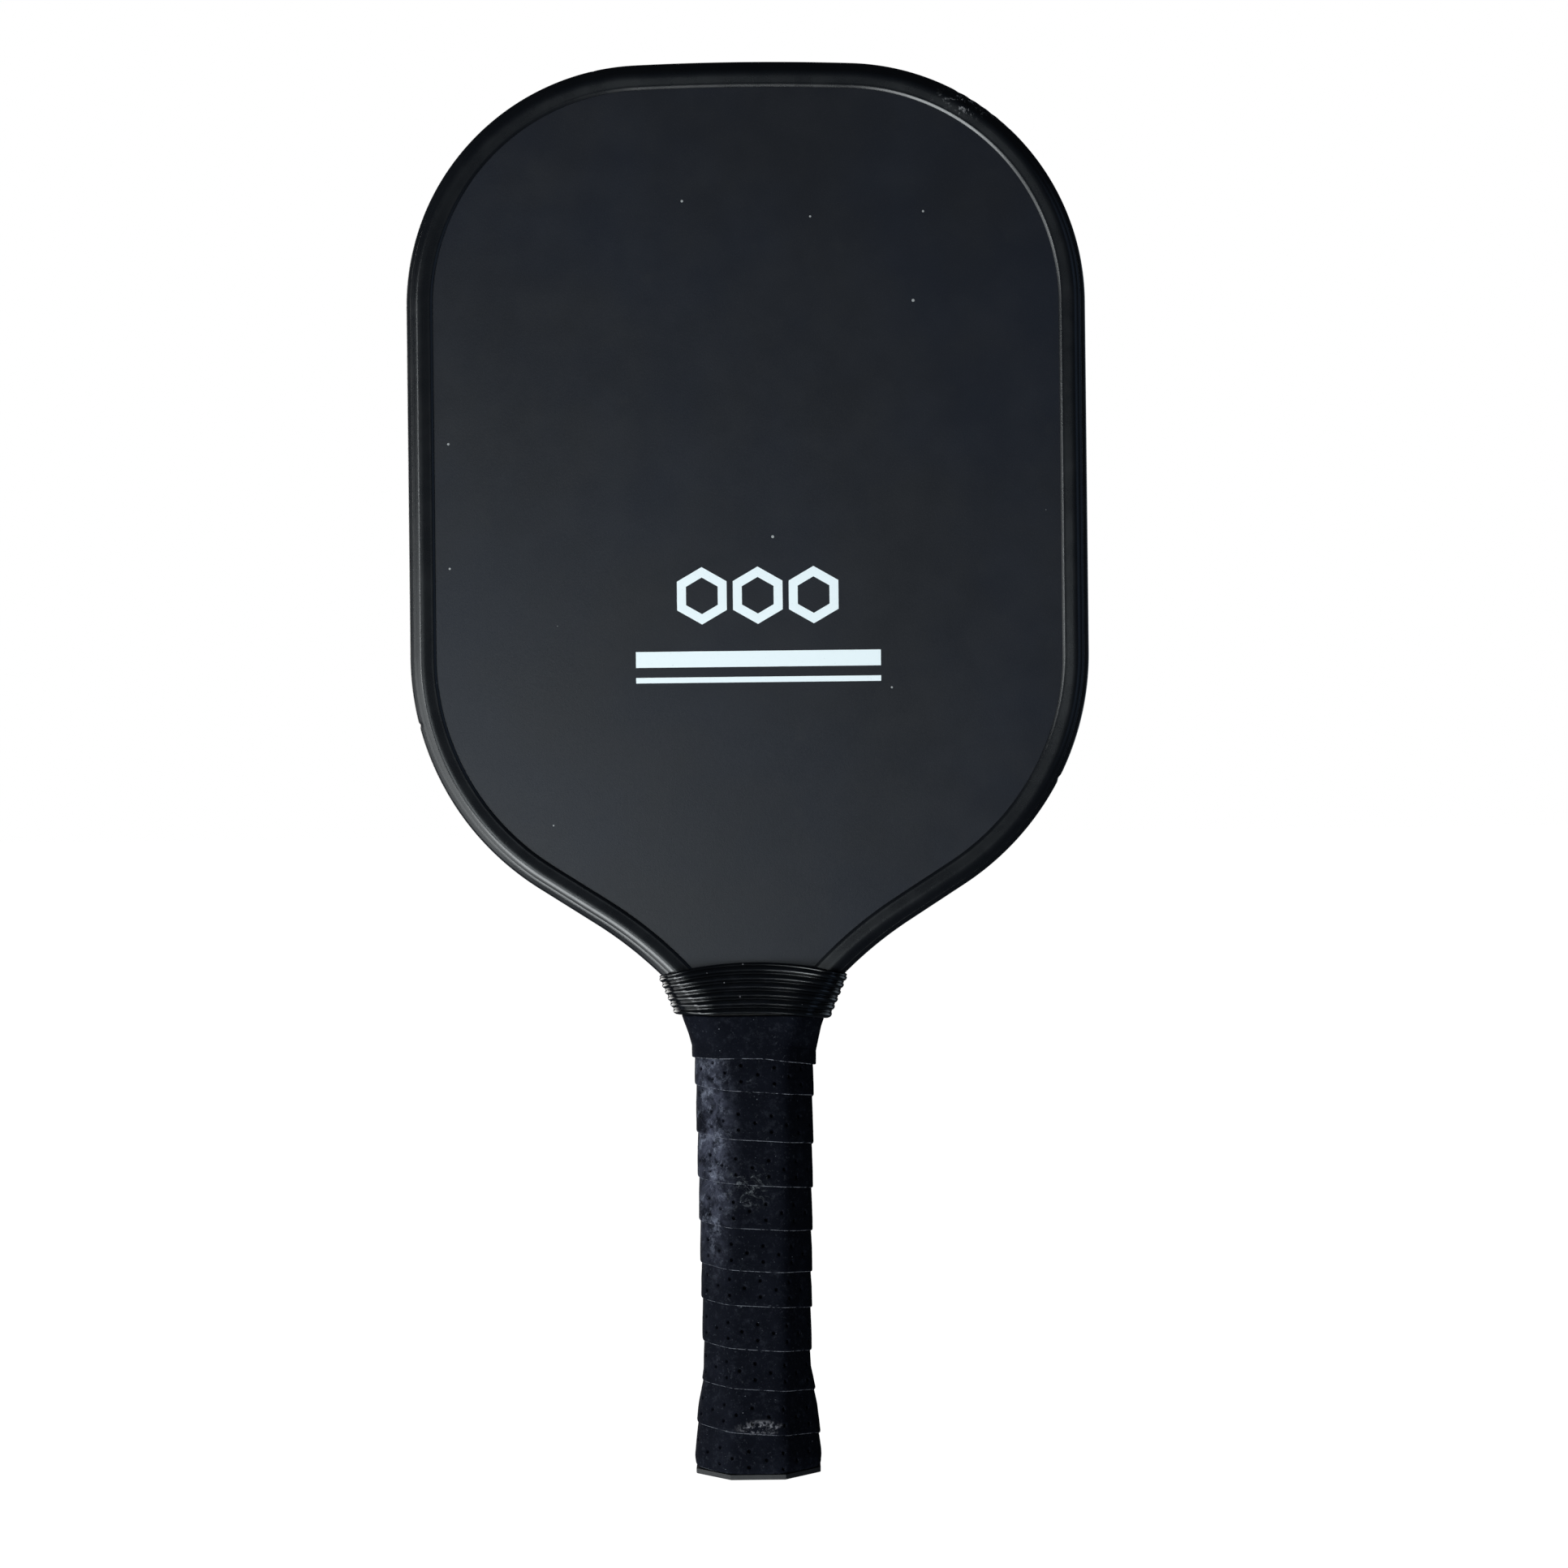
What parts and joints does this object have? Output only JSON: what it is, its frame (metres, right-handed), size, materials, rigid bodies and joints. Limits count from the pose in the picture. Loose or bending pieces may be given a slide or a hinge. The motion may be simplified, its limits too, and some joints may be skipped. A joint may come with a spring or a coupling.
{
  "type": "pickleball paddle",
  "caption": "Flat squared-oval paddle with a honeycomb panel, wrapped octagonal handle, edge guard and ribbed rubber collar, for striking a light perforated ball.",
  "frame": {"origin": "centre of the handle's end face, on which the paddle stands upright", "axes": "+Z along the handle to the tip of the head, +X across the blade, the front face towards -Y"},
  "size_m": [0.1974, 0.033, 0.41],
  "materials": {
    "core_polymer": "extruded polymer honeycomb, open cells",
    "scrim": "non-woven bonding scrim",
    "face_skin": "textured satin composite skin",
    "ink": "printed white ink",
    "rim_tape": "double-sided tape",
    "guard_plastic": "semi-gloss extruded vinyl",
    "pallet_foam": "moulded rigid foam",
    "cap_plastic": "moulded nylon, fine spark texture",
    "badge_plastic": "blank disc",
    "tack_steel": "zinc plated steel",
    "grip_wrap": "perforated suede-like polyurethane wrap",
    "finish_tape": "matt cloth-backed tape",
    "collar_rubber": "glossy ribbed rubber"
  },
  "bodies": {
    "root": {"honeycomb_core": "core_polymer", "front_scrim": "scrim", "rear_scrim": "scrim", "front_face_sheet": "face_skin", "rear_face_sheet": "face_skin", "front_face_mark": "ink", "rear_face_mark": "ink", "edge_tape": "rim_tape", "edge_guard": "guard_plastic", "handle_pallet_front": "pallet_foam", "handle_pallet_rear": "pallet_foam", "butt_cap": "cap_plastic", "butt_cap_badge": "badge_plastic", "butt_cap_tacks": "tack_steel", "cushion_grip": "grip_wrap", "finishing_tape": "finish_tape", "grip_collar": "collar_rubber"}
  },
  "joints": []
}
